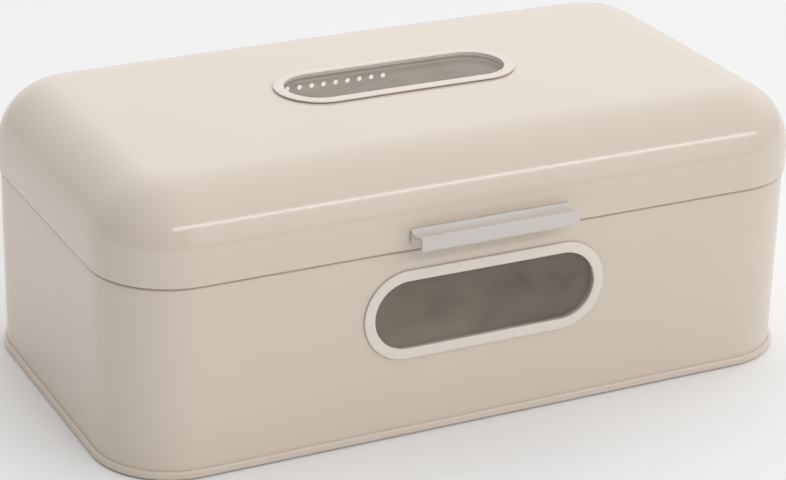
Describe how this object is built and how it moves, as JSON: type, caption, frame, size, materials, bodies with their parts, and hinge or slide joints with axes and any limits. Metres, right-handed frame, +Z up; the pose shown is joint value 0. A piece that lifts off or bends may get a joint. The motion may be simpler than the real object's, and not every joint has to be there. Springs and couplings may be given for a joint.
{
  "type": "bread box",
  "caption": "Rounded sheet-metal bread box with a rear-hinged lift-up lid, clear stadium windows in the front and the lid, a row of vent holes and an aluminium lift handle.",
  "frame": {"origin": "centre of the whole closed box's footprint, handle and hinges included, on the surface that the feet stand on", "axes": "+X to the right along the length, +Y to the back where the hinges are, +Z up; the handle and the front window are at -Y"},
  "size_m": [0.4264, 0.2526, 0.1653],
  "materials": {
    "cream_paint": "satin-gloss baked enamel, warm cream",
    "bezel_plastic": "satin cream plastic",
    "retainer_plastic": "matte cream plastic",
    "clear_pane": "clear polished acrylic sheet",
    "satin_aluminium": "satin anodised, brushed lengthways",
    "zinc_steel": "zinc plated",
    "rubber": "matte"
  },
  "bodies": {
    "base": {"base_wall": "cream_paint", "base_bottom": "cream_paint", "foot_front_left": "rubber", "foot_front_right": "rubber", "foot_rear_left": "rubber", "foot_rear_right": "rubber", "front_window_bezel": "bezel_plastic", "front_window_pane": "clear_pane", "front_window_retainer": "retainer_plastic", "hinge_left_base_leaf": "zinc_steel", "hinge_right_base_leaf": "zinc_steel", "hinge_left_pin": "zinc_steel", "hinge_right_pin": "zinc_steel", "hinge_left_base_rivet_outer": "zinc_steel", "hinge_left_base_rivet_inner": "zinc_steel", "hinge_right_base_rivet_outer": "zinc_steel", "hinge_right_base_rivet_inner": "zinc_steel"},
    "lid": {"lid_shell": "cream_paint", "top_window_bezel": "bezel_plastic", "top_window_pane": "clear_pane", "top_window_retainer": "retainer_plastic", "handle": "satin_aluminium", "handle_screw_left": "zinc_steel", "handle_screw_right": "zinc_steel", "hinge_left_lid_leaf": "zinc_steel", "hinge_right_lid_leaf": "zinc_steel", "hinge_left_lid_rivet_outer": "zinc_steel", "hinge_left_lid_rivet_inner": "zinc_steel", "hinge_right_lid_rivet_outer": "zinc_steel", "hinge_right_lid_rivet_inner": "zinc_steel"}
  },
  "joints": [
    {"name": "lid_hinge", "type": "hinge", "parent": "base", "child": "lid", "pos_m": [0, 0.12184, 0.1103], "axis": [-1, 0, 0], "range_deg": [0, 100]}
  ]
}
